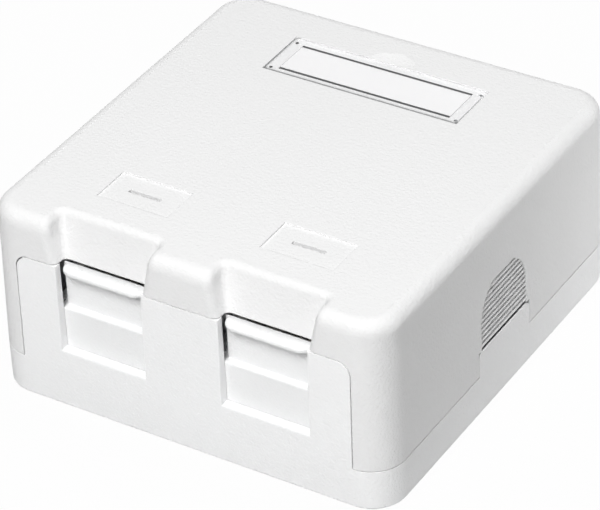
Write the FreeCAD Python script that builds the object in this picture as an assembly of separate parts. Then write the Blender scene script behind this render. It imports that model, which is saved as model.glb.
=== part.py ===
import FreeCAD, Part
import math
import os

# Two-port surface-mount outlet box with sliding shutters and two keystone jacks, in millimetres.
# Origin: middle of the underside. +X right, +Y back, +Z up; the ports face -Y.

V = FreeCAD.Vector

# Box
box_width = 68.0
box_depth = 70.0
box_height = 32.3
corner_radius = 5.5
top_edge_radius = 2.2
foot_edge_radius = 0.5
parting_height = 6.9
side_draft = 0.67
front_draft = 1.32
back_draft = 0.34

# Moulded walls
cover_wall = 1.6
cover_top = 1.8
floor_thickness = 1.6
seam_gap = 0.15
tongue_fit = 0.15
tongue_thickness = 0.8
tongue_height = 1.2

# Front panel of the base and its port notches
panel_width = 56.8
panel_drop = 7.15
panel_thickness = 1.6
panel_corner_radius = 2.2
port_pitch = 28.0
port_width = 14.8
port_sill = 10.3
port_edge_radius = 0.25

# Shutters
shutter_fit = 0.1
shutter_side_lap = 1.0
shutter_sill_lap = 0.5
shutter_floor_gap = 0.2
shutter_step_rise = 6.8
shutter_step_depth = 1.2
shutter_step_radius = 0.2
shutter_plate = 1.0
shutter_neck_lap = 0.15
shutter_lead_in = 0.75
lip_thickness = 0.9
lip_setback = 0.3
lip_end_gap = 0.2
lip_top_gap = 0.65
lip_corner_radius = 2.0
lip_edge_radius = 0.4
guide_rib = 1.2
guide_rail = 1.0
guide_headroom = 0.3

# Finger scoops in the cover
scoop_foot_depth = 2.95
scoop_top_depth = 5.1
scoop_flare = 1.5
scoop_corner_radius = 0.9
scoop_rim_radius = 1.3

# Icon recesses
icon_width = 12.3
icon_length = 7.0
icon_depth = 0.25
icon_centre_back = 13.9
icon_slot_length = 5.5
icon_slot_width = 0.7

# Label window, card and finger notch
label_width = 34.1
label_length = 10.1
label_front = 51.35
label_fit = 0.06
label_window_thickness = 0.6
label_rest = 0.05
label_corner_radius = 0.8
label_bevel = 0.2
label_leg = 0.35
label_leg_fit = 0.06
label_leg_wall = 0.12
label_barb = 0.25
label_barb_height = 0.7
label_peg = 0.5
label_peg_inset_x = 0.75
label_peg_inset_y = 1.15
label_pad = 1.0
label_pad_margin = 1.2
card_end_margin = 2.05
card_side_margin = 1.95
card_thickness = 0.25
card_fit = 0.08
notch_half_width = 4.2
notch_length = 2.9
notch_depth = 0.55

# Cable knockouts and the base tabs that close them
knockout_half_width = 6.85
knockout_side_rise = 3.7
knockout_foot = 0.1
knockout_pitch = 0.875
knockout_rib = 0.3
knockout_lean = 0.15
knockout_groove_depth = 0.7
tab_width = 15.4
tab_height = 4.25
tab_corner_radius = 1.3
tab_bevel = 0.15
tab_gap = 0.08
tab_slit = 0.65

# Snap arms between base and cover
snap_spacing = 40.0
snap_width = 8.0
snap_thickness = 1.3
snap_height = 15.0
snap_hook = 0.6
snap_hook_height = 1.6
snap_fit = 0.15

# Wall screws
screw_spacing = 45.0
screw_hole = 4.2
screw_boss = 9.0
screw_boss_height = 1.0
screw_from_back = 21.0

# Jack wall
jack_wall = 1.6
jack_wall_width = 54.0
jack_wall_corner_radius = 2.0
jack_wall_head = 2.0
jack_fit = 0.15
jack_scoop_gap = 0.2

# Jack housing
jack_width = 14.5
jack_height = 16.0
jack_depth = 20.0
jack_edge_radius = 0.4
jack_hook_start = 1.3
jack_hook_length = 1.0
jack_hook_rise = 1.2
jack_shoulder_length = 2.2
latch_gap = 1.0
latch_thickness = 1.2
latch_width = 9.0
latch_root = 3.0
latch_hook_rise = 1.1
socket_width = 11.9
socket_height = 6.7
socket_depth = 13.2
socket_notch_width = 6.2
socket_notch_height = 1.5
socket_rise = 1.6
chamber_wall = 0.7
chamber_floor = 3.4
chamber_top_wall = 0.7

# Contacts and their carrier
contact_count = 8
contact_pitch = 1.02
contact_width = 0.5
contact_thickness = 0.3
contact_front = 3.4
contact_bend_radius = 0.45
contact_slope = 24.0
contact_reach = 7.0
contact_tail = 17.0
carrier_fit = 0.1
carrier_roof = 0.6
carrier_side_margin = 0.5
carrier_post = 2.4

# Circuit board
board_thickness = 1.2
board_fit = 0.1
board_front_gap = 0.4
board_end = 33.0

# Terminal block, terminals and cap
block_width = 16.4
block_gap = 0.3
block_height = 8.4
block_skirt = 1.0
block_channel = 6.0
block_channel_depth = 3.6
terminals_per_side = 4
terminal_pitch = 3.05
terminal_row = 11.2
terminal_width = 2.2
terminal_thickness = 0.5
terminal_top_gap = 0.8
terminal_fork = 0.4
terminal_fork_depth = 3.0
wire_slot = 1.0
wire_slot_depth = 4.6
cap_top = 1.2
cap_skirt = 1.4
cap_wall = 0.8
cap_fit = 0.1
cap_rib = 0.8
cap_rib_inset = 0.8
cap_rib_depth = 1.3

# Heights and faces that several pieces share
front = -box_depth / 2
back = box_depth / 2
port_centres = {"left": -port_pitch / 2, "right": port_pitch / 2}
panel_height = box_height - panel_drop
opening_top = panel_height + seam_gap
panel_back = front + panel_thickness
inner_inset = cover_wall + tongue_fit + tongue_thickness
top_underside = box_height - cover_top

shutter_face = panel_back + shutter_fit
shutter_upper_face = shutter_face + shutter_step_depth
shutter_back = shutter_upper_face + shutter_plate
shutter_bottom = port_sill - shutter_sill_lap
shutter_step = port_sill + shutter_step_rise
shutter_top = opening_top - lip_top_gap
shutter_travel = shutter_bottom - floor_thickness - shutter_floor_gap
shutter_half = port_width / 2 + shutter_side_lap

label_low_y = front + label_front
label_high_y = label_low_y + label_length
label_middle_y = label_low_y + label_length / 2
label_seat = box_height - label_window_thickness - label_rest
card_width = label_width - 2 * card_end_margin
card_length = label_length - 2 * card_side_margin
label_pad_low = top_underside - label_pad

window_bottom = shutter_top - shutter_travel
socket_middle = (window_bottom + opening_top) / 2
jack_bottom = socket_middle - jack_height / 2 - socket_rise
jack_top = jack_bottom + jack_height
scoop_slope = (scoop_top_depth - scoop_foot_depth) / (box_height - opening_top)
scoop_reach = scoop_foot_depth + scoop_slope * (jack_top + jack_hook_rise - opening_top)
jack_face = front + scoop_reach + cover_wall + jack_scoop_gap
hook_notch = jack_face + jack_hook_start + jack_hook_length
jack_wall_front = hook_notch + jack_fit
jack_wall_back = jack_wall_front + jack_wall
shoulder_front = jack_wall_back + jack_fit
socket_total = socket_height + socket_notch_height
socket_bottom = socket_middle - socket_total / 2
socket_top = socket_middle + socket_total / 2
chamber_front = jack_face + socket_depth + chamber_wall
chamber_low = jack_bottom + chamber_floor
contact_level = socket_top + contact_thickness / 2
board_top = chamber_low + board_thickness
block_front = jack_face + jack_depth + block_gap
block_back = jack_face + board_end
block_top = board_top + block_height

ALONG_X = V(1, 0, 0)
ALONG_Y = V(0, 1, 0)
ALONG_Z = V(0, 0, 1)
TOUCH = 1e-4


# Small shapes that the pieces are made of

def block(x0, x1, y0, y1, z0, z1):
    return Part.makeBox(x1 - x0, y1 - y0, z1 - z0, V(x0, y0, z0))


def closed_wire(points):
    return Part.makePolygon([V(*p) for p in points] + [V(*points[0])])


def prism(points, direction):
    """A closed outline of corner points, pushed along a direction."""
    return Part.Face(closed_wire(points)).extrude(direction)


def rounded_wire(x0, x1, y0, y1, radius, z):
    """A rectangle in plan with round corners, at height z."""
    corners = [
        (x1 - radius, y0 + radius, -90),
        (x1 - radius, y1 - radius, 0),
        (x0 + radius, y1 - radius, 90),
        (x0 + radius, y0 + radius, 180),
    ]
    arcs = [Part.makeCircle(radius, V(x, y, z), ALONG_Z, a, a + 90) for x, y, a in corners]
    edges = []
    for arc, following in zip(arcs, arcs[1:] + arcs[:1]):
        edges.append(arc)
        edges.append(Part.makeLine(arc.lastVertex().Point, following.firstVertex().Point))
    return Part.Wire(edges)


def rounded_prism(x0, x1, y0, y1, radius, z0, z1):
    return Part.Face(rounded_wire(x0, x1, y0, y1, radius, z0)).extrude(V(0, 0, z1 - z0))


def edges_at_height(shape, z):
    return [e for e in shape.Edges if max(abs(e.BoundBox.ZMin - z), abs(e.BoundBox.ZMax - z)) < TOUCH]


def edges_along(shape, axis, chosen):
    """The straight edges along an axis whose middle point passes the test."""
    found = []
    for edge in shape.Edges:
        if edge.Curve.TypeId != "Part::GeomLine":
            continue
        if edge.Curve.Direction.cross(axis).Length < TOUCH and chosen(edge.CenterOfMass):
            found.append(edge)
    return found


def shared_edges(shape, one, other, low):
    """The edges of shape, above a height, that lie on the surfaces of two other shapes."""
    found = []
    for edge in shape.Edges:
        middle = Part.Vertex(edge.valueAt((edge.FirstParameter + edge.LastParameter) / 2))
        reach = max(one.Shells[0].distToShape(middle)[0], other.Shells[0].distToShape(middle)[0])
        if reach < TOUCH and middle.Z > low + TOUCH:
            found.append(edge)
    return found


def fused(shapes):
    return shapes[0].fuse(shapes[1:]).removeSplitter()


# Drafted outside of the box

def draft_offset(angle, z):
    return (z - parting_height) * math.tan(math.radians(angle))


def body_wire(z, inset):
    """The outline of the drafted box at height z, drawn in all round by inset."""
    side = box_width / 2 - inset - draft_offset(side_draft, z)
    y0 = front + inset + draft_offset(front_draft, z)
    y1 = back - inset - draft_offset(back_draft, z)
    return rounded_wire(-side, side, y0, y1, max(corner_radius - inset, top_edge_radius), z)


def drafted_body(z0, z1, inset):
    return Part.makeLoft([body_wire(z0, inset), body_wire(z1, inset)], True, True)


def panel_region(gap, reach, low):
    """The front panel's outline, widened by gap, from the front back to reach."""
    half = panel_width / 2 + gap
    shape = block(-half, half, front - seam_gap, reach, low, panel_height + gap)
    corners = edges_along(shape, ALONG_Y, lambda c: c.z > parting_height)
    return shape.makeFillet(panel_corner_radius, corners)


# Cable knockouts on the two sides and the back

def on_walls(make):
    """Copies for the two sides and the back of a shape that is made for a wall facing +X."""
    walls = [(0, box_width / 2, side_draft), (180, box_width / 2, side_draft), (90, box_depth / 2, back_draft)]
    copies = []
    for angle, distance, draft in walls:
        copy = make(distance, draft)
        copy.rotate(V(0, 0, 0), ALONG_Z, angle)
        copies.append(copy)
    return copies


def tab_region(gap, distance):
    """The place of a base tab that fills the cover's cable notch, widened by a gap."""
    half = tab_width / 2 + gap
    top = parting_height + tab_height + gap
    return block(distance - inner_inset, distance + seam_gap, -half, half, parting_height, top)


def tab(distance, draft):
    """A base tab with round upper corners, which thins to a bevelled ridge along its top."""
    shape = tab_region(0, distance)
    shape = shape.makeFillet(tab_corner_radius, edges_along(shape, ALONG_X, lambda c: c.z > parting_height))
    half = tab_width / 2
    top = parting_height + tab_height
    ridge = distance - draft_offset(draft, top) - tab_bevel
    outer = distance + seam_gap
    bevel = [(ridge, -half, top), (outer, -half, top), (outer, -half, top - outer + ridge)]
    inner = distance - inner_inset
    slope = [
        (ridge, -half, top),
        (distance - cover_wall, -half, parting_height),
        (inner, -half, parting_height),
        (inner, -half, top),
    ]
    return shape.cut([prism(bevel, V(0, tab_width, 0)), prism(slope, V(0, tab_width, 0))])


def knockout_slit(distance):
    """The slit between the tab and the knockout, from which the knockout is broken out."""
    low = parting_height + tab_height
    half = knockout_half_width
    return block(distance - inner_inset, distance + seam_gap, -half, half, low, low + tab_slit)


def knockout_grooves(distance, draft):
    """Level grooves inside an arch, just above the slit, between ribs that lean back."""
    low = parting_height + tab_height + tab_slit
    middle = low + knockout_side_rise
    half = knockout_half_width
    crown = middle + half
    start = V(distance - cover_wall, -half, low)
    outline = Part.Wire([
        Part.makeLine(start, start + V(0, 2 * half, 0)),
        Part.makeLine(start + V(0, 2 * half, 0), V(start.x, half, middle)),
        Part.Arc(V(start.x, half, middle), V(start.x, 0, crown), V(start.x, -half, middle)).toShape(),
        Part.makeLine(V(start.x, -half, middle), start),
    ])
    arch = Part.Face(outline).extrude(V(cover_wall, 0, 0))
    first = low + knockout_foot
    grooves = []
    for i in range(int((crown - first) / knockout_pitch)):
        z = first + i * knockout_pitch
        face = distance - draft_offset(draft, z)
        grooves.append(prism([
            (face + seam_gap, -half, z),
            (face, -half, z),
            (face - knockout_lean, -half, z + knockout_rib),
            (face - knockout_groove_depth, -half, z + knockout_rib),
            (face - knockout_groove_depth, -half, z + knockout_pitch),
            (face + seam_gap, -half, z + knockout_pitch),
        ], V(0, 2 * half, 0)))
    return arch.common(fused(grooves))


# Base: tray, front panel, shutter guides, jack wall, tabs and snap arms

def shutter_guides(centre):
    """Two ribs with rails that make the groove in which a shutter slides."""
    top = shutter_step + guide_headroom
    outer = shutter_half + shutter_fit
    rail_front = shutter_back + shutter_fit
    pieces = []
    for side in (-1, 1):
        rib = sorted((centre + side * outer, centre + side * (outer + guide_rib)))
        pieces.append(block(rib[0], rib[1], panel_back, jack_wall_front, floor_thickness, top))
        rail = sorted((centre + side * port_width / 2, centre + side * outer))
        pieces.append(block(rail[0], rail[1], rail_front, rail_front + guide_rail, floor_thickness, top))
    return pieces


def jack_bulkhead():
    """The upright wall that the two jacks snap into."""
    half = jack_wall_width / 2
    top = jack_top + jack_fit + jack_wall_head
    wall = block(-half, half, jack_wall_front, jack_wall_back, floor_thickness, top)
    wall = wall.makeFillet(jack_wall_corner_radius, edges_along(wall, ALONG_Y, lambda c: c.z > jack_top))
    low = jack_bottom - latch_gap - latch_thickness - jack_fit
    high = jack_top + jack_fit
    half = jack_width / 2 + jack_fit
    for centre in port_centres.values():
        wall = wall.cut(block(centre - half, centre + half, jack_wall_front, jack_wall_back, low, high))
    return wall


def snap_arm(side, y):
    """A springy arm on the tray with a ramped hook that points outwards."""
    outer = box_width / 2 - cover_wall - snap_fit - draft_offset(side_draft, snap_height)
    hook_low = snap_height - snap_hook_height
    profile = [
        (outer - snap_thickness, y, floor_thickness),
        (outer, y, floor_thickness),
        (outer, y, hook_low),
        (outer + snap_hook, y, hook_low),
        (outer, y, snap_height),
        (outer - snap_thickness, y, snap_height),
    ]
    arm = prism(profile, V(0, snap_width, 0))
    arm.translate(V(0, -snap_width / 2, 0))
    return arm if side > 0 else arm.mirror(V(0, 0, 0), ALONG_X)


def snap_places():
    return [(side, y) for side in (-1, 1) for y in (-snap_spacing / 2, snap_spacing / 2)]


def screw_places():
    y = back - screw_from_back
    return [V(-screw_spacing / 2, y, 0), V(screw_spacing / 2, y, 0)]


def base():
    half_w = box_width / 2
    skirt = rounded_prism(-half_w, half_w, front, back, corner_radius, 0, parting_height)
    skirt = skirt.makeFillet(foot_edge_radius, edges_at_height(skirt, 0))
    tongue = drafted_body(parting_height, parting_height + tongue_height, cover_wall + tongue_fit)
    tray_hollow = rounded_prism(
        -half_w + inner_inset, half_w - inner_inset, front + inner_inset, back - inner_inset,
        corner_radius - inner_inset, floor_thickness, box_height)
    bay = jack_wall_width / 2
    shutter_bay = block(-bay, bay, panel_back, jack_wall_front, floor_thickness, box_height)
    skin = drafted_body(parting_height, box_height, 0)
    panel = skin.common(panel_region(0, panel_back, parting_height))
    tabs = skin.common(Part.makeCompound(on_walls(tab)))
    inside = drafted_body(parting_height, box_height, cover_wall)

    tray = skirt.fuse([tongue]).cut(tray_hollow).cut(shutter_bay)
    tray = tray.cut(panel_region(seam_gap, panel_back + inner_inset, parting_height))
    tray = tray.cut(on_walls(lambda distance, draft: tab_region(tab_gap, distance)))
    shell = fused([tray, panel, tabs.cut(inside)])

    details = [jack_bulkhead()]
    for centre in port_centres.values():
        details += shutter_guides(centre)
    for side, y in snap_places():
        details.append(snap_arm(side, y))
    for place in screw_places():
        details.append(Part.makeCylinder(screw_boss / 2, floor_thickness + screw_boss_height, place))
    shell = fused([shell] + details)

    half = port_width / 2
    for centre in port_centres.values():
        notch = block(centre - half, centre + half, front - seam_gap, panel_back, port_sill, box_height)
        shell = shell.cut(notch)
        shell = shell.makeFillet(port_edge_radius, shared_edges(shell, skin, notch, parting_height))
    for place in screw_places():
        shell = shell.cut(Part.makeCylinder(screw_hole / 2, box_height, place))
    return shell


# Cover: drafted shell with scoops, recesses, label seat, knockouts and snap pockets

def scoop(centre, wall):
    """The hollow above a port. With a wall it is the larger block that the scoop's back wall fills."""
    foot = port_width / 2 + wall
    head = foot + scoop_flare
    low = opening_top
    side_profile = [
        (0, front - seam_gap, low),
        (0, front + scoop_foot_depth + wall, low),
        (0, front + scoop_top_depth + wall, box_height),
        (0, front - seam_gap, box_height),
    ]
    front_profile = [
        (centre - foot, front - seam_gap, low),
        (centre + foot, front - seam_gap, low),
        (centre + head, front - seam_gap, box_height),
        (centre - head, front - seam_gap, box_height),
    ]
    depth = prism(side_profile, V(2 * head, 0, 0))
    depth.translate(V(centre - head, 0, 0))
    width = prism(front_profile, V(0, box_depth / 2, 0))
    shape = depth.common(width)
    corners = [e for e in shape.Edges if e.BoundBox.ZLength > TOUCH and e.CenterOfMass.y > front]
    return shape.makeFillet(scoop_corner_radius + wall, corners)


def cover():
    outer = drafted_body(parting_height + seam_gap, box_height, 0)
    outer = outer.makeFillet(top_edge_radius, edges_at_height(outer, box_height))
    smooth = outer.copy()
    hollow = drafted_body(parting_height, top_underside, cover_wall)
    for centre in port_centres.values():
        dip = scoop(centre, 0)
        outer = outer.cut(dip)
        outer = outer.makeFillet(scoop_rim_radius, shared_edges(outer, smooth, dip, opening_top))
        hollow = hollow.cut(scoop(centre, cover_wall))
    hollow = hollow.cut(block(
        -label_width / 2 - label_pad_margin, label_width / 2 + label_pad_margin,
        label_low_y - label_pad_margin, label_high_y + notch_length + label_pad_margin,
        label_pad_low, box_height))
    shell = outer.cut(hollow)
    shell = shell.cut(panel_region(seam_gap, jack_face, 0))

    shell = shell.cut(on_walls(lambda distance, draft: tab_region(tab_gap, distance)))
    shell = shell.cut(on_walls(lambda distance, draft: knockout_slit(distance)))
    shell = shell.cut(on_walls(knockout_grooves))

    half = label_width / 2 + label_fit
    shell = shell.cut(block(
        -half, half, label_low_y - label_fit, label_high_y + label_fit, label_seat, box_height))
    shell = shell.cut([card_space(card_fit), finger_notch()] + label_legs(label_leg_fit))
    for centre in port_centres.values():
        y = front + icon_centre_back
        shell = shell.cut(block(
            centre - icon_width / 2, centre + icon_width / 2, y - icon_length / 2, y + icon_length / 2,
            box_height - icon_depth, box_height))
        shell = shell.cut(block(
            centre - icon_slot_length / 2, centre + icon_slot_length / 2,
            y - icon_slot_width / 2, y + icon_slot_width / 2, 0, box_height))
    for side, y in snap_places():
        shell = shell.cut(snap_pocket(side, y))
    return shell


def finger_notch():
    """A dished notch behind the label, for lifting the window out."""
    edge = label_high_y + label_fit
    rim = (notch_half_width ** 2 + notch_length ** 2) / (2 * notch_length)
    ball = (rim ** 2 + notch_depth ** 2) / (2 * notch_depth)
    sphere = Part.makeSphere(ball, V(0, edge + notch_length - rim, box_height + ball - notch_depth))
    return sphere.common(block(-rim, rim, edge, edge + rim, 0, box_height))


def snap_pocket(side, y):
    """The pocket in the cover's wall that takes a snap hook."""
    outer = box_width / 2 - cover_wall - draft_offset(side_draft, snap_height)
    half = snap_width / 2 + snap_fit
    low = snap_height - snap_hook_height - snap_fit
    pocket = block(0, outer + snap_hook, y - half, y + half, low, snap_height + snap_fit)
    return pocket if side > 0 else pocket.mirror(V(0, 0, 0), ALONG_X)


# Shutters

def shutter(centre):
    """A stepped plate with guide wings below and a finger lip along its top."""
    neck = port_width / 2 + shutter_neck_lap
    plate_profile = [
        (centre - neck, shutter_face, shutter_bottom),
        (centre - neck, shutter_face, shutter_step),
        (centre - neck, shutter_upper_face, shutter_step),
        (centre - neck, shutter_upper_face, shutter_top),
        (centre - neck, shutter_back - shutter_lead_in, shutter_top),
        (centre - neck, shutter_back, shutter_top - shutter_lead_in),
        (centre - neck, shutter_back, shutter_bottom),
    ]
    plate = prism(plate_profile, V(2 * neck, 0, 0))
    wings = block(
        centre - shutter_half, centre + shutter_half,
        shutter_face, shutter_back, shutter_bottom, shutter_step)
    lip_half = port_width / 2 - lip_end_gap
    lip_front = front + draft_offset(front_draft, shutter_top) + lip_setback
    lip = block(
        centre - lip_half, centre + lip_half, lip_front, shutter_back - shutter_lead_in,
        shutter_top - lip_thickness, shutter_top)
    lip = lip.makeFillet(lip_corner_radius, edges_along(lip, ALONG_Z, lambda c: c.y < shutter_upper_face))
    rim = [e for e in lip.Edges if e.BoundBox.ZLength < TOUCH and e.BoundBox.YMax < shutter_upper_face]
    lip = lip.makeFillet(lip_edge_radius, rim)
    shape = fused([plate, wings, lip])
    step = [e for e in edges_at_height(shape, shutter_step) if e.BoundBox.YMax < shutter_upper_face]
    return shape.makeFillet(shutter_step_radius, step)


# Label

def label_legs(fit):
    """The two legs beside the card and the four corner pegs of the window, widened by a fit."""
    half = card_width / 2 + fit
    inner = card_length / 2 + card_fit + label_leg_wall
    pieces = []
    for side in (-1, 1):
        y = sorted((label_middle_y + side * (inner - fit), label_middle_y + side * (inner + label_leg + fit)))
        pieces.append(block(-half, half, y[0], y[1], label_pad_low - label_rest, label_seat + label_rest))
        peg_x = side * (label_width / 2 - label_peg_inset_x)
        for peg_y in (label_low_y + label_peg_inset_y, label_high_y - label_peg_inset_y):
            length = label_seat + label_rest - label_pad_low
            pieces.append(Part.makeCylinder(label_peg / 2 + fit, length, V(peg_x, peg_y, label_pad_low)))
    return pieces


def label_barbs():
    """Ramped barbs at the feet of the legs, which catch under the cover's pad."""
    half = card_width / 2
    inner = card_length / 2 + card_fit + label_leg_wall
    top = label_pad_low - label_rest
    profile = [
        (-half, inner, top),
        (-half, inner + label_leg + label_barb, top),
        (-half, inner + label_leg, top - label_barb_height),
        (-half, inner, top - label_barb_height),
    ]
    pieces = []
    for side in (-1, 1):
        barb = prism([(x, label_middle_y + side * y, z) for x, y, z in profile], V(2 * half, 0, 0))
        pieces.append(barb)
    return pieces


def label_window():
    """A clear plate that snaps in over the card."""
    half = label_width / 2
    plate = rounded_prism(
        -half, half, label_low_y, label_high_y, label_corner_radius, label_seat + label_rest, box_height)
    plate = plate.makeChamfer(label_bevel, edges_at_height(plate, box_height))
    return fused([plate] + label_legs(0) + label_barbs())


def card_space(fit):
    """The shallow bed in the cover that the card lies in."""
    half_w = card_width / 2 + fit
    half_l = card_length / 2 + fit
    low = label_seat - card_thickness
    return block(-half_w, half_w, label_middle_y - half_l, label_middle_y + half_l, low, label_seat)


def label_card():
    return card_space(0)


# Keystone jack

def jack_housing(centre):
    half = jack_width / 2
    body = block(centre - half, centre + half, jack_face, jack_face + jack_depth, jack_bottom, jack_top)
    body = body.makeFillet(jack_edge_radius, edges_along(body, ALONG_Y, lambda c: True))
    top_hook = prism([
        (centre - half, jack_face + jack_hook_start, jack_top - jack_edge_radius),
        (centre - half, jack_face + jack_hook_start, jack_top),
        (centre - half, hook_notch, jack_top + jack_hook_rise),
        (centre - half, hook_notch, jack_top - jack_edge_radius),
    ], V(jack_width, 0, 0))
    shoulder = block(
        centre - half, centre + half, shoulder_front, shoulder_front + jack_shoulder_length,
        jack_top - jack_edge_radius, jack_top + jack_hook_rise)
    arm_low = jack_bottom - latch_gap - latch_thickness
    rear = jack_face + jack_depth
    latch = prism([
        (centre - latch_width / 2, rear, jack_bottom),
        (centre - latch_width / 2, rear - latch_root, jack_bottom),
        (centre - latch_width / 2, rear - latch_root, jack_bottom - latch_gap),
        (centre - latch_width / 2, jack_face + jack_hook_start, jack_bottom - latch_gap),
        (centre - latch_width / 2, jack_face + jack_hook_start, arm_low),
        (centre - latch_width / 2, hook_notch, arm_low - latch_hook_rise),
        (centre - latch_width / 2, hook_notch, arm_low),
        (centre - latch_width / 2, shoulder_front, arm_low),
        (centre - latch_width / 2, shoulder_front, arm_low - latch_hook_rise),
        (centre - latch_width / 2, shoulder_front + jack_shoulder_length, arm_low - latch_hook_rise),
        (centre - latch_width / 2, shoulder_front + jack_shoulder_length, arm_low),
        (centre - latch_width / 2, rear, arm_low),
    ], V(latch_width, 0, 0))
    body = fused([body, top_hook, shoulder, latch])

    main = block(
        centre - socket_width / 2, centre + socket_width / 2, jack_face, jack_face + socket_depth,
        socket_bottom + socket_notch_height, socket_top)
    notch = block(
        centre - socket_notch_width / 2, centre + socket_notch_width / 2,
        jack_face, jack_face + socket_depth, socket_bottom, socket_top)
    chamber = block(
        centre - half + chamber_wall, centre + half - chamber_wall, chamber_front, rear,
        chamber_low, jack_top - chamber_top_wall)
    return body.cut(fused([main, notch])).cut(chamber).cut(carrier_space(centre, carrier_fit))


def carrier_space(centre, fit):
    """The roof slot above the socket that the contact carrier slides into from behind."""
    half = socket_width / 2 - carrier_side_margin + fit
    start = jack_face + contact_front - contact_bend_radius - contact_thickness - fit
    top = contact_level + contact_thickness / 2 + carrier_roof + fit
    return block(centre - half, centre + half, start, chamber_front, socket_top, top)


def contact_places(centre):
    first = centre - (contact_count - 1) / 2 * contact_pitch
    return [first + i * contact_pitch for i in range(contact_count)]


def contact(x):
    """A spring strip: tail on the board, run over the socket, bend at the front, slope back down."""
    bend_y = jack_face + contact_front
    angle = math.radians(contact_slope)
    tail_y = jack_face + contact_tail
    centre = V(x, bend_y, contact_level - contact_bend_radius)
    leave = centre + V(0, -math.sin(angle), -math.cos(angle)) * contact_bend_radius
    along = V(0, math.cos(angle), -math.sin(angle))
    mid = centre + V(0, -contact_bend_radius, 0)
    corner = contact_bend_radius
    path = Part.Wire([
        Part.makeLine(V(x, tail_y, board_top), V(x, tail_y, contact_level - corner)),
        Part.makeCircle(corner, V(x, tail_y - corner, contact_level - corner), ALONG_X, 0, 90),
        Part.makeLine(V(x, tail_y - corner, contact_level), V(x, bend_y, contact_level)),
        Part.Arc(V(x, bend_y, contact_level), mid, leave).toShape(),
        Part.makeLine(leave, leave + along * contact_reach),
    ])
    w = contact_width / 2
    t = contact_thickness / 2
    section = closed_wire([
        (x - w, tail_y - t, board_top), (x + w, tail_y - t, board_top),
        (x + w, tail_y + t, board_top), (x - w, tail_y + t, board_top)])
    return path.makePipeShell([section], True, False)


def contacts(centre):
    return Part.makeCompound([contact(x) for x in contact_places(centre)])


def contact_carrier(centre):
    """A roof plate over the socket with a rear post, grooved for the contacts."""
    roof = carrier_space(centre, 0)
    top = roof.BoundBox.ZMax
    half = socket_width / 2 - carrier_side_margin
    tail_y = jack_face + contact_tail
    post = block(
        centre - half, centre + half, chamber_front, tail_y + carrier_post / 2, board_top, top)
    return fused([roof, post]).cut(contacts(centre))


def board(centre):
    half = jack_width / 2 - chamber_wall - board_fit
    return block(
        centre - half, centre + half, chamber_front + board_front_gap, jack_face + board_end,
        chamber_low, board_top)


def terminal_places(centre):
    middle = (block_front + block_back) / 2
    first = middle - (terminals_per_side - 1) / 2 * terminal_pitch
    rows = (centre - terminal_row / 2, centre + terminal_row / 2)
    return [(x, first + i * terminal_pitch) for x in rows for i in range(terminals_per_side)]


def terminal_blank(x, y):
    return block(
        x - terminal_thickness / 2, x + terminal_thickness / 2,
        y - terminal_width / 2, y + terminal_width / 2, board_top, block_top - terminal_top_gap)


def terminal(x, y):
    """A flat blade with a fork at its top that cuts into the wire."""
    top = block_top - terminal_top_gap
    blade = terminal_blank(x, y)
    fork = block(
        x - terminal_thickness, x + terminal_thickness, y - terminal_fork / 2, y + terminal_fork / 2,
        top - terminal_fork_depth, top)
    return blade.cut(fork)


def terminals(centre):
    return Part.makeCompound([terminal(x, y) for x, y in terminal_places(centre)])


def terminal_block(centre):
    """A block astride the board with a middle channel and a wire slot at each terminal."""
    half = block_width / 2
    board_half = jack_width / 2 - chamber_wall
    low = chamber_low - block_skirt
    profile = [
        (centre - half, block_front, low),
        (centre - board_half, block_front, low),
        (centre - board_half, block_front, board_top),
        (centre + board_half, block_front, board_top),
        (centre + board_half, block_front, low),
        (centre + half, block_front, low),
        (centre + half, block_front, block_top),
        (centre + block_channel / 2, block_front, block_top),
        (centre + block_channel / 2, block_front, block_top - block_channel_depth),
        (centre - block_channel / 2, block_front, block_top - block_channel_depth),
        (centre - block_channel / 2, block_front, block_top),
        (centre - half, block_front, block_top),
    ]
    shape = prism(profile, V(0, block_back - block_front, 0))
    cuts = []
    for x, y in terminal_places(centre):
        cuts.append(terminal_blank(x, y))
        outer = half if x > centre else -half
        span = sorted((centre, centre + outer))
        cuts.append(block(
            span[0], span[1], y - wire_slot / 2, y + wire_slot / 2, block_top - wire_slot_depth, block_top))
    return shape.cut(cuts)


def wire_cap(centre):
    """A lid over the terminal block with a rib above each wire slot."""
    half = block_width / 2 + cap_fit + cap_wall
    top = block_top + cap_top
    low = block_top - cap_skirt
    profile = [
        (centre - half, block_front, low),
        (centre - half + cap_wall, block_front, low),
        (centre - half + cap_wall, block_front, block_top),
        (centre + half - cap_wall, block_front, block_top),
        (centre + half - cap_wall, block_front, low),
        (centre + half, block_front, low),
        (centre + half, block_front, top),
        (centre - half, block_front, top),
    ]
    shape = prism(profile, V(0, block_back - block_front, 0))
    ribs = []
    for x, y in terminal_places(centre):
        inner = math.copysign(block_channel / 2 + cap_rib_inset, x - centre)
        outer = math.copysign(terminal_row / 2 - terminal_thickness, x - centre)
        span = sorted((centre + inner, centre + outer))
        ribs.append(block(
            span[0], span[1], y - cap_rib / 2, y + cap_rib / 2, block_top - cap_rib_depth, block_top))
    return fused([shape] + ribs)


def build():
    parts = {
        "base": base(),
        "cover": cover(),
        "label_window": label_window(),
        "label_card": label_card(),
    }
    for side, centre in port_centres.items():
        parts[side + "_shutter"] = shutter(centre)
        parts[side + "_jack_housing"] = jack_housing(centre)
        parts[side + "_contact_carrier"] = contact_carrier(centre)
        parts[side + "_contacts"] = contacts(centre)
        parts[side + "_board"] = board(centre)
        parts[side + "_terminal_block"] = terminal_block(centre)
        parts[side + "_terminals"] = terminals(centre)
        parts[side + "_wire_cap"] = wire_cap(centre)
    return parts


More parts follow.
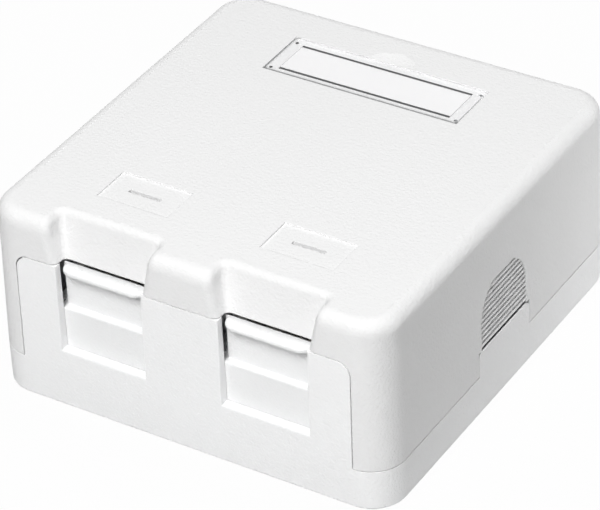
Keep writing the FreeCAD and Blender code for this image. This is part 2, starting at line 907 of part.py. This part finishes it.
os.makedirs("parts", exist_ok=True)
for name, shape in build().items():
    shape.exportStep("parts/" + name + ".step")
    print(name, shape.isValid(), len(shape.Solids), round(shape.Volume, 3))
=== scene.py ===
"""Looks of a surface-mount outlet box: moulded plastics, label, jacks, floor, light and camera."""

import math

import bpy
from bpy.props import FloatProperty, FloatVectorProperty, PointerProperty
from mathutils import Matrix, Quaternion, Vector

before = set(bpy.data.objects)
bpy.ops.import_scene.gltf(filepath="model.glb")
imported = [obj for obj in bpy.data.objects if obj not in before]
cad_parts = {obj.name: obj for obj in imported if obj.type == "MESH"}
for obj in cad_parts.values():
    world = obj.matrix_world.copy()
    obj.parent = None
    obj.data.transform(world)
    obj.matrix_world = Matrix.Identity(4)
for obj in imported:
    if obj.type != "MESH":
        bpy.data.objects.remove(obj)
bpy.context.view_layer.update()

bl_info = {
    "name": "Surface-mount outlet box",
    "version": (1, 0, 0),
    "blender": (4, 5, 0),
    "location": "View3D > Sidebar > Outlet Box",
    "description": "Finishes, light and camera for a two-port outlet box with sliding shutters",
    "category": "Object",
}

SIDES = ("left", "right")
SEEN = ("Is Camera Ray", "Is Glossy Ray", "Is Transmission Ray")
WHITE = (1, 1, 1, 1)
PLASTIC_IOR = 1.5
PATCHES_PER_METRE = 90
CLOUDS_PER_METRE = 45
TRACKS_PER_METRE = 330
FIBRES_PER_METRE = (2200, 7000, 7000)
STREAKS_PER_METRE = (12000, 900, 900)
SHEEN_SWING = 0.05
STREAK_FALL, STREAK_RISE = 0.08, 0.1
EDGE_SAMPLES = 6
EDGE_BEGINS, EDGE_FULL = 0.995, 0.8
TRACK_BEGINS, TRACK_FULL = 0.55, 0.62


def colour(name, description, default):
    return FloatVectorProperty(
        name=name, description=description, default=default, subtype="COLOR", size=3, min=0, max=1)


def length(name, description, default):
    return FloatProperty(name=name, description=description, default=default, unit="LENGTH", min=0, precision=6)


def share(name, description, default):
    return FloatProperty(name=name, description=description, default=default, subtype="FACTOR", min=0, max=1)


def power(name, description, default):
    return FloatProperty(name=name, description=description, default=default, unit="POWER", min=0)


def place(name, description, default):
    return FloatVectorProperty(
        name=name, description=description, default=default, subtype="TRANSLATION", unit="LENGTH")


def angle(name, description, degrees):
    return FloatProperty(
        name=name, description=description, default=math.radians(degrees), subtype="ANGLE", unit="ROTATION")


class ShellFinish(bpy.types.PropertyGroup):
    """White mouldings: base, cover and shutters"""

    # The base is set paler than the cover, though both are the same white: the extra paleness is painted light on
    # the front panel and the base's strip of the right side.
    base_colour_and_painted_light: colour("Base Colour", "Colour of the base with its front panel", (0.965, 0.968, 0.97))
    cover_colour: colour("Cover Colour", "Colour of the cover", (0.882, 0.882, 0.882))
    shutter_colour: colour("Shutter Colour", "Colour of the two shutters", (0.915, 0.918, 0.92))
    roughness: share("Roughness", "Roughness of the satin mouldings", 0.58)
    sheen: share("Sheen", "Specular level of the moulded plastics", 0.2)
    drift: share("Tone Drift", "How far the tone of a moulding drifts", 0.02)
    grain_size: length("Grain Size", "Width of one grain of the spark-eroded mould", 0.00045)
    grain_depth: length("Grain Depth", "Depth of the mould's grain", 0.00013)
    edge_radius: length("Edge Radius", "Radius that the moulding's crisp edges catch the light with", 0.0002)
    # Painted highlight: the moulding's colour is made paler along its edges.
    painted_edge_highlight: share("Edge Lift", "How much paler a moulding is along its edges", 0.12)


class LabelFinish(bpy.types.PropertyGroup):
    """Clear window and the card under it"""

    window_colour: colour("Window Colour", "Tint of the clear window", (0.985, 0.985, 0.987))
    window_ior: FloatProperty(name="Window IOR", description="Refraction of the clear plastic", default=1.49, min=1)
    window_clearness: share("Window Clearness", "How clear the polished window is", 0.97)
    window_roughness: share("Window Roughness", "Roughness of the polished window", 0.04)
    # Painted shade: only the bevel faces toward the left and front get this grey tint.
    bevel_painted_shade_colour: colour("Shade Colour", "Tint of the window's bevel at its left and front", (0.42, 0.425, 0.43))
    bevel_clearness: share("Bevel Clearness", "How clear the window's frosted bevel is", 0.5)
    bevel_roughness: share("Bevel Roughness", "Roughness of the window's frosted bevel", 0.4)
    bevel_least: share("Least Bevel Slope", "Tilt of a face of the plate that still counts as none", 0.1)
    bevel_most: share("Most Bevel Slope", "Upward share below which a face of the plate is bevel", 0.9)
    wave_size: length("Wave Size", "Width of one wave in the window", 0.004)
    wave_depth: length("Wave Depth", "Depth of the waves in the window", 0.000004)
    plate_thickness: length("Plate Thickness", "Window's thickness, below which its legs begin", 0.00062)
    # Painted shade: the clear legs are coloured near black where they stand in the dark inside the box.
    leg_painted_shade_colour: colour("Leg Colour", "Colour of the window's legs, which stand in the dark", (0.015, 0.02, 0.022))
    # Painted light: the two clear pegs at the right end are coloured mid grey, paler than the legs, for the light
    # from the right.
    peg_painted_light_colour: colour("Peg Colour", "Colour of the two pegs that light from the right reaches", (0.55, 0.56, 0.57))
    peg_zone: length("Peg Zone", "From the window's right end to the far side of its pegs", 0.0015)
    leg_roughness: share("Leg Roughness", "Roughness of the window's legs", 0.5)
    card_colour: colour("Card Colour", "Colour of the blank card", (0.949, 0.946, 0.948))
    card_roughness: share("Card Roughness", "Roughness of the blank card", 0.85)
    card_drift: share("Card Drift", "How far the tone of the card drifts", 0.03)
    fibre_depth: length("Fibre Depth", "Depth of the card's fibres", 0.00001)


class JackFinish(bpy.types.PropertyGroup):
    """Pieces of the two jacks"""

    housing_colour: colour("Housing Colour", "Colour of the housing and the terminal block", (0.72, 0.72, 0.7))
    housing_roughness: share("Housing Roughness", "Roughness of the housing and the terminal block", 0.38)
    carrier_colour: colour("Carrier Colour", "Colour of the contact carrier", (0.02, 0.02, 0.022))
    carrier_roughness: share("Carrier Roughness", "Roughness of the contact carrier", 0.45)
    cap_colour: colour("Cap Colour", "Colour of the wire cap", (0.36, 0.38, 0.4))
    cap_roughness: share("Cap Roughness", "Roughness of the wire cap", 0.4)
    contact_colour: colour("Contact Colour", "Colour of the gold-plated contacts", (0.83, 0.6, 0.2))
    contact_roughness: share("Contact Roughness", "Middle roughness of the gold-plated contacts", 0.22)
    terminal_colour: colour("Terminal Colour", "Colour of the tinned terminals", (0.66, 0.66, 0.64))
    terminal_roughness: share("Terminal Roughness", "Middle roughness of the tinned terminals", 0.34)
    metal_drift: share("Metal Drift", "How far the tone of the plated strips drifts", 0.08)
    metal_edge_radius: length("Metal Edge Radius", "Radius of the stamped strips' edges", 0.00006)
    # Painted highlight: the strip's colour is made paler along its edges.
    metal_painted_edge_highlight: share("Metal Edge Lift", "How much paler a stamped strip is along its edges", 0.05)
    board_colour: colour("Board Colour", "Colour of the board's solder mask", (0.015, 0.16, 0.06))
    trace_colour: colour("Trace Colour", "Colour of the solder mask over copper", (0.04, 0.28, 0.1))
    board_roughness: share("Board Roughness", "Roughness of the solder mask", 0.35)
    trace_height: length("Trace Height", "Height of the copper tracks under the mask", 0.00003)


class Studio(bpy.types.PropertyGroup):
    """Floor, light and camera"""

    floor_colour: colour("Floor Colour", "Colour of the pale floor", (0.6, 0.6, 0.6))
    floor_roughness: share("Floor Roughness", "Roughness of the pale floor", 0.9)
    floor_size: length("Floor Size", "Side of the square floor", 3.0)
    floor_gap: length("Floor Gap", "Hair that the floor lies below the underside", 0.00002)
    floor_white: share("Floor White", "How much of the floor's colour is plain white in the picture", 0.97)
    key_power: power("Key Power", "Power of the lamp in front of the ports", 7.7)
    key_size: length("Key Size", "Side of the lamp in front of the ports", 0.32)
    key_place: place("Key Place", "Where the lamp in front of the ports hangs", (0.135, -0.595, 0.73))
    top_power: power("Top Power", "Power of the lamp above the box", 3.1)
    top_size: length("Top Size", "Side of the lamp above the box", 0.3)
    top_place: place("Top Place", "Where the lamp above the box hangs", (0.095, 0.33, 0.88))
    low_power: power("Low Power", "Power of the low lamp that fills the right side", 0.0155)
    low_size: length("Low Size", "Side of the low lamp", 0.04)
    low_place: place("Low Place", "Where the low lamp stands", (0.08, 0.06, 0.008))
    target: place("Target", "Point that the camera and the lamps look at", (-0.00022, -0.00172, 0.01383))
    distance: length("Distance", "From the target to the camera", 0.5088)
    azimuth: angle("Azimuth", "Camera's turn from the front to the right", 33.08)
    elevation: angle("Elevation", "Camera's angle above the floor", 35.30)
    roll: angle("Roll", "Camera's turn about its own line of sight", -2.95)
    lens: FloatProperty(
        name="Lens", description="Focal length on a 36 mm wide sensor", default=201.86, unit="CAMERA")


# Node helpers

def add(tree, kind, **inputs):
    """A new node of a kind, with the values of its named inputs set."""
    node = tree.nodes.new(kind)
    for name, value in inputs.items():
        node.inputs[name.replace("_", " ")].default_value = value
    return node


def link(tree, source, socket):
    tree.links.new(source, socket)


def calculate(tree, operation, first, second, clamp=False):
    """The output of a calculation with two sockets or plain numbers."""
    node = tree.nodes.new("ShaderNodeMath")
    node.operation = operation
    node.use_clamp = clamp
    for given, socket in zip((first, second), node.inputs):
        if isinstance(given, bpy.types.NodeSocket):
            link(tree, given, socket)
        else:
            socket.default_value = given
    return node.outputs[0]


def object_place(tree):
    return tree.nodes.new("ShaderNodeTexCoord").outputs["Object"]


def stretched_noise(tree, stretch, **inputs):
    """Noise stretched along the axes, in features for each metre."""
    mapping = add(tree, "ShaderNodeMapping", Scale=stretch)
    texture = add(tree, "ShaderNodeTexNoise", Scale=1.0, **inputs)
    link(tree, object_place(tree), mapping.inputs["Vector"])
    link(tree, mapping.outputs["Vector"], texture.inputs["Vector"])
    return texture.outputs["Fac"]


def even_noise(tree, **inputs):
    texture = add(tree, "ShaderNodeTexNoise", **inputs)
    link(tree, object_place(tree), texture.inputs["Vector"])
    return texture


def new_group(name, inputs, outputs):
    """A shader node group with named sockets. Returns the group, its input node and its output node."""
    group = bpy.data.node_groups.new(name, "ShaderNodeTree")
    for socket, kind, default in inputs:
        made = group.interface.new_socket(socket, in_out="INPUT", socket_type=kind)
        made.default_value = default
    for socket, kind in outputs:
        group.interface.new_socket(socket, in_out="OUTPUT", socket_type=kind)
    return group, group.nodes.new("NodeGroupInput"), group.nodes.new("NodeGroupOutput")


def place_group(tree, name, **inputs):
    """An effect placed in a material with its own values. The effect is built when it is first placed."""
    if name not in bpy.data.node_groups:
        EFFECTS[name](name)
    node = tree.nodes.new("ShaderNodeGroup")
    node.node_tree = bpy.data.node_groups[name]
    for socket, value in inputs.items():
        node.inputs[socket.replace("_", " ")].default_value = value
    return node


def new_material(name, **values):
    """A material with one Principled shader whose plain values are set. Returns it, its tree and the shader."""
    material = bpy.data.materials.new(name)
    material.use_nodes = True
    tree = material.node_tree
    tree.nodes.clear()
    shader = add(tree, "ShaderNodeBsdfPrincipled", **values)
    tree.nodes.new("ShaderNodeOutputMaterial")
    show(tree, shader.outputs["BSDF"])
    return material, tree, shader


def show(tree, surface):
    link(tree, surface, tree.get_output_node("ALL").inputs["Surface"])


def either_shader(tree, amount, first, second):
    """The first shader where the amount is 0, and the second where it is 1."""
    mix = tree.nodes.new("ShaderNodeMixShader")
    link(tree, amount, mix.inputs["Fac"])
    link(tree, first, mix.inputs[1])
    link(tree, second, mix.inputs[2])
    return mix.outputs["Shader"]


def either_ray(tree, kinds):
    """1 for rays of any of the kinds, and 0 for all others."""
    path = tree.nodes.new("ShaderNodeLightPath")
    total = path.outputs[kinds[0]]
    for kind in kinds[1:]:
        total = calculate(tree, "MAXIMUM", total, path.outputs[kind])
    return total


def bump(tree, shader, height, depth, normal=None):
    """Relief on a shader, over the given normals."""
    relief = add(tree, "ShaderNodeBump", Distance=depth)
    link(tree, height, relief.inputs["Height"])
    if normal:
        link(tree, normal, relief.inputs["Normal"])
    link(tree, relief.outputs["Normal"], shader.inputs["Normal"])


def dress(node, *materials):
    """Gives a CAD node its materials, the first one all over. Returns the node's mesh."""
    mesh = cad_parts[node].data
    mesh.materials.clear()
    for material in materials:
        mesh.materials.append(material)
    return mesh


# Effects that several materials share

def moulded_grain(name):
    """Fine grain that a spark-eroded mould leaves, with patches of slightly different sheen."""
    group, given, made = new_group(
        name,
        [("Grain Size", "NodeSocketFloat", 0.0002), ("Roughness", "NodeSocketFloat", 0.4)],
        [("Height", "NodeSocketFloat"), ("Roughness", "NodeSocketFloat")])
    grain = even_noise(group, Detail=2.0, Roughness=0.6)
    link(group, calculate(group, "DIVIDE", 1.0, given.outputs["Grain Size"]), grain.inputs["Scale"])
    patches = even_noise(group, Scale=PATCHES_PER_METRE, Detail=3.0)
    sheen = add(group, "ShaderNodeMapRange", To_Min=-SHEEN_SWING, To_Max=SHEEN_SWING)
    link(group, patches.outputs["Fac"], sheen.inputs["Value"])
    rough = calculate(group, "ADD", given.outputs["Roughness"], sheen.outputs["Result"], clamp=True)
    link(group, grain.outputs["Fac"], made.inputs["Height"])
    link(group, rough, made.inputs["Roughness"])


def soft_edges(name):
    """Normals rounded along crisp edges, and a mask of those edges."""
    group, given, made = new_group(
        name,
        [("Radius", "NodeSocketFloat", 0.0001)],
        [("Normal", "NodeSocketVector"), ("Edge", "NodeSocketFloat")])
    bevel = group.nodes.new("ShaderNodeBevel")
    bevel.samples = EDGE_SAMPLES
    link(group, given.outputs["Radius"], bevel.inputs["Radius"])
    flat = group.nodes.new("ShaderNodeNewGeometry")
    facing = group.nodes.new("ShaderNodeVectorMath")
    facing.operation = "DOT_PRODUCT"
    link(group, bevel.outputs["Normal"], facing.inputs[0])
    link(group, flat.outputs["Normal"], facing.inputs[1])
    edge = add(group, "ShaderNodeMapRange", From_Min=EDGE_BEGINS, From_Max=EDGE_FULL)
    link(group, facing.outputs["Value"], edge.inputs["Value"])
    link(group, bevel.outputs["Normal"], made.inputs["Normal"])
    link(group, edge.outputs["Result"], made.inputs["Edge"])


def uneven_tone(name):
    """A colour that drifts a little over the surface, with a painted highlight that makes it paler along its edges.
    """
    group, given, made = new_group(
        name,
        [
            ("Colour", "NodeSocketColor", (0.8, 0.8, 0.8, 1)),
            ("Drift", "NodeSocketFloat", 0.02),
            ("Edge", "NodeSocketFloat", 0.0),
            ("Edge Lift", "NodeSocketFloat", 0.05),
        ],
        [("Colour", "NodeSocketColor")])
    clouds = even_noise(group, Scale=CLOUDS_PER_METRE, Detail=4.0, Roughness=0.55)
    swing = calculate(group, "SUBTRACT", clouds.outputs["Fac"], 0.5)
    drift = calculate(group, "MULTIPLY", swing, given.outputs["Drift"])
    # Painted highlight: the edge mask makes the colour paler along the edges.
    lift = calculate(group, "MULTIPLY", given.outputs["Edge"], given.outputs["Edge Lift"])
    level = calculate(group, "ADD", calculate(group, "ADD", drift, lift), 1.0)
    toned = group.nodes.new("ShaderNodeHueSaturation")
    link(group, given.outputs["Colour"], toned.inputs["Color"])
    link(group, level, toned.inputs["Value"])
    link(group, toned.outputs["Color"], made.inputs["Colour"])


EFFECTS = {"Moulded Grain": moulded_grain, "Soft Edges": soft_edges, "Uneven Tone": uneven_tone}


# Finishes

def moulded_plastic(name, tint, roughness, shell):
    """Satin moulded plastic: fine grain, soft edges with a painted highlight along them, and a slight drift of
    tone.
    """
    material, tree, shader = new_material(name, IOR=PLASTIC_IOR, Specular_IOR_Level=shell.sheen)
    grain = place_group(tree, "Moulded Grain", Grain_Size=shell.grain_size, Roughness=roughness)
    edges = place_group(tree, "Soft Edges", Radius=shell.edge_radius)
    tone = place_group(tree, "Uneven Tone", Colour=(*tint, 1), Drift=shell.drift, Edge_Lift=shell.painted_edge_highlight)
    link(tree, edges.outputs["Edge"], tone.inputs["Edge"])
    link(tree, tone.outputs["Colour"], shader.inputs["Base Color"])
    link(tree, grain.outputs["Roughness"], shader.inputs["Roughness"])
    bump(tree, shader, grain.outputs["Height"], shell.grain_depth, edges.outputs["Normal"])
    return material


def clear_plastic(name, tint, clearness, roughness, label):
    """Polished clear plastic with the faintest waviness. Light that falls on the card passes straight through."""
    material, tree, shader = new_material(
        name, Base_Color=(*tint, 1), Transmission_Weight=clearness, IOR=label.window_ior)
    waves = place_group(tree, "Moulded Grain", Grain_Size=label.wave_size, Roughness=roughness)
    link(tree, waves.outputs["Roughness"], shader.inputs["Roughness"])
    bump(tree, shader, waves.outputs["Height"], label.wave_depth)
    through = add(tree, "ShaderNodeBsdfTransparent", Color=(*tint, 1))
    lit = either_ray(tree, ("Is Shadow Ray", "Is Diffuse Ray"))
    show(tree, either_shader(tree, lit, shader.outputs["BSDF"], through.outputs["BSDF"]))
    return material


def blank_card(name, label):
    """Uncoated card with long fibres."""
    material, tree, shader = new_material(name, Roughness=label.card_roughness)
    tone = place_group(tree, "Uneven Tone", Colour=(*label.card_colour, 1), Drift=label.card_drift)
    link(tree, tone.outputs["Colour"], shader.inputs["Base Color"])
    bump(tree, shader, stretched_noise(tree, FIBRES_PER_METRE, Detail=4.0), label.fibre_depth)
    return material


def plated_metal(name, tint, roughness, jacks):
    """Rolled and plated strip: drawn streaks in its sheen, and a painted highlight along its edges."""
    material, tree, shader = new_material(name, Metallic=1.0)
    tone = place_group(
        tree, "Uneven Tone", Colour=(*tint, 1), Drift=jacks.metal_drift, Edge_Lift=jacks.metal_painted_edge_highlight)
    edges = place_group(tree, "Soft Edges", Radius=jacks.metal_edge_radius)
    rough = add(tree, "ShaderNodeMapRange", To_Min=roughness - STREAK_FALL, To_Max=roughness + STREAK_RISE)
    link(tree, stretched_noise(tree, STREAKS_PER_METRE, Detail=3.0), rough.inputs["Value"])
    link(tree, edges.outputs["Edge"], tone.inputs["Edge"])
    link(tree, tone.outputs["Colour"], shader.inputs["Base Color"])
    link(tree, rough.outputs["Result"], shader.inputs["Roughness"])
    link(tree, edges.outputs["Normal"], shader.inputs["Normal"])
    return material


def solder_mask(name, jacks):
    """Green solder mask, paler where copper tracks run under it."""
    material, tree, shader = new_material(name, Roughness=jacks.board_roughness)
    tracks = add(
        tree, "ShaderNodeTexWave", Scale=TRACKS_PER_METRE, Distortion=2.0, Detail=1.0, Detail_Scale=0.6)
    copper = add(tree, "ShaderNodeMapRange", From_Min=TRACK_BEGINS, From_Max=TRACK_FULL)
    mask = tree.nodes.new("ShaderNodeMix")
    mask.data_type = "RGBA"
    mask.inputs["A"].default_value = (*jacks.board_colour, 1)
    mask.inputs["B"].default_value = (*jacks.trace_colour, 1)
    link(tree, object_place(tree), tracks.inputs["Vector"])
    link(tree, tracks.outputs["Fac"], copper.inputs["Value"])
    link(tree, copper.outputs["Result"], mask.inputs["Factor"])
    link(tree, mask.outputs["Result"], shader.inputs["Base Color"])
    bump(tree, shader, copper.outputs["Result"], jacks.trace_height)
    return material


# Operators

class OUTLETBOX_OT_shell(bpy.types.Operator):
    """Dress the base and the cover in satin white plastic, the base paler with painted light"""

    bl_idname = "outletbox.shell"
    bl_label = "Shell"

    def execute(self, context):
        shell = context.scene.outlet_shell
        # The base's paleness over the cover is painted light.
        dress("base", moulded_plastic("White base plastic", shell.base_colour_and_painted_light, shell.roughness, shell))
        dress("cover", moulded_plastic("White cover plastic", shell.cover_colour, shell.roughness, shell))
        return {"FINISHED"}


class OUTLETBOX_OT_shutters(bpy.types.Operator):
    """Dress the two sliding shutters"""

    bl_idname = "outletbox.shutters"
    bl_label = "Shutters"

    def execute(self, context):
        shell = context.scene.outlet_shell
        plastic = moulded_plastic("White shutter plastic", shell.shutter_colour, shell.roughness, shell)
        for side in SIDES:
            dress(side + "_shutter", plastic)
        return {"FINISHED"}


class OUTLETBOX_OT_label(bpy.types.Operator):
    """Dress the clear label window and the card under it, with painted shade on the window's legs and its left and
    front bevel, and painted light on its two right pegs
    """

    bl_idname = "outletbox.label"
    bl_label = "Label"

    def execute(self, context):
        label = context.scene.outlet_label
        shell = context.scene.outlet_shell
        clear = clear_plastic(
            "Clear window plastic", label.window_colour, label.window_clearness, label.window_roughness, label)
        bevel = clear_plastic(
            "Frosted window bevel", label.window_colour, label.bevel_clearness, label.bevel_roughness, label)
        shade = clear_plastic(
            "Window bevel in painted shade", label.bevel_painted_shade_colour, label.bevel_clearness, label.bevel_roughness, label)
        # Painted shade on the window's clear legs.
        legs = moulded_plastic("Leg plastic in painted shade", label.leg_painted_shade_colour, label.leg_roughness, shell)
        # Painted light on the two clear pegs at the right end.
        pegs = moulded_plastic("Peg plastic in painted light", label.peg_painted_light_colour, label.leg_roughness, shell)
        finishes = [clear, bevel, shade, legs, pegs]
        mesh = dress("label_window", *finishes)
        plate = max(vertex.co.z for vertex in mesh.vertices) - label.plate_thickness
        lit_end = max(vertex.co.x for vertex in mesh.vertices) - label.peg_zone
        # Faces under the plate are legs in painted shade, or pegs in painted light at the right end; bevel faces
        # toward the left or front get painted shade.
        for face in mesh.polygons:
            finish = clear
            if face.center.z < plate:
                finish = pegs if face.center.x > lit_end else legs
            elif -label.bevel_least < face.normal.z < label.bevel_most:
                shaded = min(face.normal.x, face.normal.y) < -label.bevel_least
                finish = shade if shaded else bevel
            face.material_index = finishes.index(finish)
        dress("label_card", blank_card("Blank card", label))
        return {"FINISHED"}


class OUTLETBOX_OT_jacks(bpy.types.Operator):
    """Dress the pieces of the two jacks"""

    bl_idname = "outletbox.jacks"
    bl_label = "Jacks"

    def execute(self, context):
        jacks = context.scene.outlet_jacks
        shell = context.scene.outlet_shell
        housing = moulded_plastic("Jack housing plastic", jacks.housing_colour, jacks.housing_roughness, shell)
        pieces = {
            "jack_housing": housing,
            "terminal_block": housing,
            "contact_carrier": moulded_plastic(
                "Black carrier plastic", jacks.carrier_colour, jacks.carrier_roughness, shell),
            "wire_cap": moulded_plastic("Grey cap plastic", jacks.cap_colour, jacks.cap_roughness, shell),
            "contacts": plated_metal("Gold-plated strip", jacks.contact_colour, jacks.contact_roughness, jacks),
            "terminals": plated_metal("Tinned strip", jacks.terminal_colour, jacks.terminal_roughness, jacks),
            "board": solder_mask("Green solder mask", jacks),
        }
        for side in SIDES:
            for piece, material in pieces.items():
                dress(side + "_" + piece, material)
        return {"FINISHED"}


class OUTLETBOX_OT_stage(bpy.types.Operator):
    """Build the floor, the light and the camera"""

    bl_idname = "outletbox.stage"
    bl_label = "Stage"

    def execute(self, context):
        studio = context.scene.outlet_studio
        pale_floor(context, studio)
        light_tent(context)
        area_lamp(context, "Key", studio.key_power, studio.key_size, studio.key_place)
        area_lamp(context, "Top lamp", studio.top_power, studio.top_size, studio.top_place)
        area_lamp(context, "Low lamp", studio.low_power, studio.low_size, studio.low_place)
        viewing_camera(context, studio)
        context.scene.view_settings.view_transform = "Standard"
        return {"FINISHED"}


# Stage

def pale_floor(context, studio):
    """Floor that the picture shows white, with the box's shadow. From below it is clear and shows the underside."""
    half = studio.floor_size / 2
    level = -studio.floor_gap
    corners = [(-half, -half, level), (half, -half, level), (half, half, level), (-half, half, level)]
    mesh = bpy.data.meshes.new("Floor")
    mesh.from_pydata(corners, [], [(0, 1, 2, 3)])
    floor = bpy.data.objects.new("Floor", mesh)
    context.scene.collection.objects.link(floor)
    material, tree, shader = new_material(
        "Pale floor", Base_Color=(*studio.floor_colour, 1), Roughness=studio.floor_roughness)
    white = add(tree, "ShaderNodeEmission", Color=WHITE, Strength=1.0)
    seen = calculate(tree, "MULTIPLY", either_ray(tree, SEEN), studio.floor_white)
    above = either_shader(tree, seen, shader.outputs["BSDF"], white.outputs["Emission"])
    below = tree.nodes.new("ShaderNodeNewGeometry").outputs["Backfacing"]
    clear = tree.nodes.new("ShaderNodeBsdfTransparent")
    show(tree, either_shader(tree, below, above, clear.outputs["BSDF"]))
    mesh.materials.append(material)


def light_tent(context):
    """White surroundings that are seen and mirrored, and that give no light of their own."""
    world = bpy.data.worlds.new("Light tent")
    world.use_nodes = True
    tree = world.node_tree
    tree.nodes.clear()
    tent = add(tree, "ShaderNodeBackground", Color=WHITE)
    link(tree, either_ray(tree, SEEN), tent.inputs["Strength"])
    output = tree.nodes.new("ShaderNodeOutputWorld")
    link(tree, tent.outputs["Background"], output.inputs["Surface"])
    context.scene.world = world


def area_lamp(context, name, energy, size, location):
    """A square lamp that faces the point that the camera looks at."""
    light = bpy.data.lights.new(name, "AREA")
    light.energy = energy
    light.size = size
    lamp = bpy.data.objects.new(name, light)
    lamp.location = location
    lamp.rotation_mode = "QUATERNION"
    lamp.rotation_quaternion = (context.scene.outlet_studio.target - location).to_track_quat("-Z", "Y")
    context.scene.collection.objects.link(lamp)


def viewing_camera(context, studio):
    """Camera at the photograph's viewing angle."""
    across = math.cos(studio.elevation)
    back = Vector((
        math.sin(studio.azimuth) * across, -math.cos(studio.azimuth) * across, math.sin(studio.elevation)))
    camera = bpy.data.objects.new("Camera", bpy.data.cameras.new("Camera"))
    camera.data.lens = studio.lens
    camera.location = Vector(studio.target) + back * studio.distance
    camera.rotation_mode = "QUATERNION"
    camera.rotation_quaternion = (-back).to_track_quat("-Z", "Y") @ Quaternion((0, 0, 1), studio.roll)
    context.scene.collection.objects.link(camera)
    context.scene.camera = camera


class OUTLETBOX_PT_sidebar(bpy.types.Panel):
    """Steps that dress the outlet box"""

    bl_idname = "OUTLETBOX_PT_sidebar"
    bl_label = "Outlet Box"
    bl_space_type = "VIEW_3D"
    bl_region_type = "UI"
    bl_category = "Outlet Box"

    def draw(self, context):
        for step in STEPS:
            self.layout.operator(step.bl_idname)


STEPS = (
    OUTLETBOX_OT_shell,
    OUTLETBOX_OT_shutters,
    OUTLETBOX_OT_label,
    OUTLETBOX_OT_jacks,
    OUTLETBOX_OT_stage,
)
GROUPS = {
    "outlet_shell": ShellFinish,
    "outlet_label": LabelFinish,
    "outlet_jacks": JackFinish,
    "outlet_studio": Studio,
}


def register():
    for name, group in GROUPS.items():
        bpy.utils.register_class(group)
        setattr(bpy.types.Scene, name, PointerProperty(type=group))
    for step in STEPS:
        bpy.utils.register_class(step)
    bpy.utils.register_class(OUTLETBOX_PT_sidebar)


def unregister():
    bpy.utils.unregister_class(OUTLETBOX_PT_sidebar)
    for step in reversed(STEPS):
        bpy.utils.unregister_class(step)
    for name, group in GROUPS.items():
        delattr(bpy.types.Scene, name)
        bpy.utils.unregister_class(group)


def main():
    register()
    bpy.ops.outletbox.shell()
    bpy.ops.outletbox.shutters()
    bpy.ops.outletbox.label()
    bpy.ops.outletbox.jacks()
    bpy.ops.outletbox.stage()


if __name__ == "__main__":
    main()
